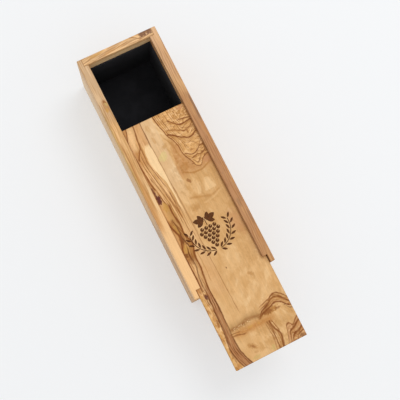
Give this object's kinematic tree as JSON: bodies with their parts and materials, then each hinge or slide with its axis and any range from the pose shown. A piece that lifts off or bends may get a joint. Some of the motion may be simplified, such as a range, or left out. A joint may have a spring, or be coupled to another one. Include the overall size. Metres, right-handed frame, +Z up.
{
  "type": "wooden wine box",
  "caption": "Slim figured-wood box for a wine bottle, lying on its back, felt-lined, with rabbeted corners and an engraved board lid that slides along side grooves and out at the front.",
  "frame": {"origin": "middle of the underside of the box body, the lid left out", "axes": "+X across the box, +Y along it towards the rear end, so the lid slides out towards -Y, +Z up through the lid"},
  "size_m": [0.115, 0.453, 0.105],
  "materials": {
    "lid_wood": "fine sanded and lightly oiled olive wood, strongly figured, with a burnt dark-brown engraving",
    "side_wood": "fine sanded and lightly oiled olive wood, long even grain",
    "end_wood": "fine sanded and lightly oiled olive wood, grain across the box",
    "base_wood": "sanded olive wood, long grain",
    "felt": "black felt, matt and slightly fuzzy",
    "brad_steel": "bright drawn steel wire",
    "filler": "wood filler, sanded flush, a little darker than the boards"
  },
  "bodies": {
    "box": {"left_side": "side_wood", "right_side": "side_wood", "rear_end": "end_wood", "front_end": "end_wood", "base_panel": "base_wood", "floor_lining": "felt", "left_lining": "felt", "right_lining": "felt", "rear_lining": "felt", "front_lining": "felt", "rear_left_brads": "brad_steel", "rear_right_brads": "brad_steel", "front_left_brads": "brad_steel", "front_right_brads": "brad_steel", "base_left_brads": "brad_steel", "base_right_brads": "brad_steel", "base_rear_brads": "brad_steel", "base_front_brads": "brad_steel", "left_filler": "filler", "right_filler": "filler", "rear_filler": "filler", "front_filler": "filler", "base_filler": "filler"},
    "lid": {"sliding_lid": "lid_wood"}
  },
  "joints": [
    {"name": "lid_slide", "type": "slide", "parent": "box", "child": "lid", "axis": [0, -1, 0], "range_m": [-0.099, 0.245]}
  ]
}
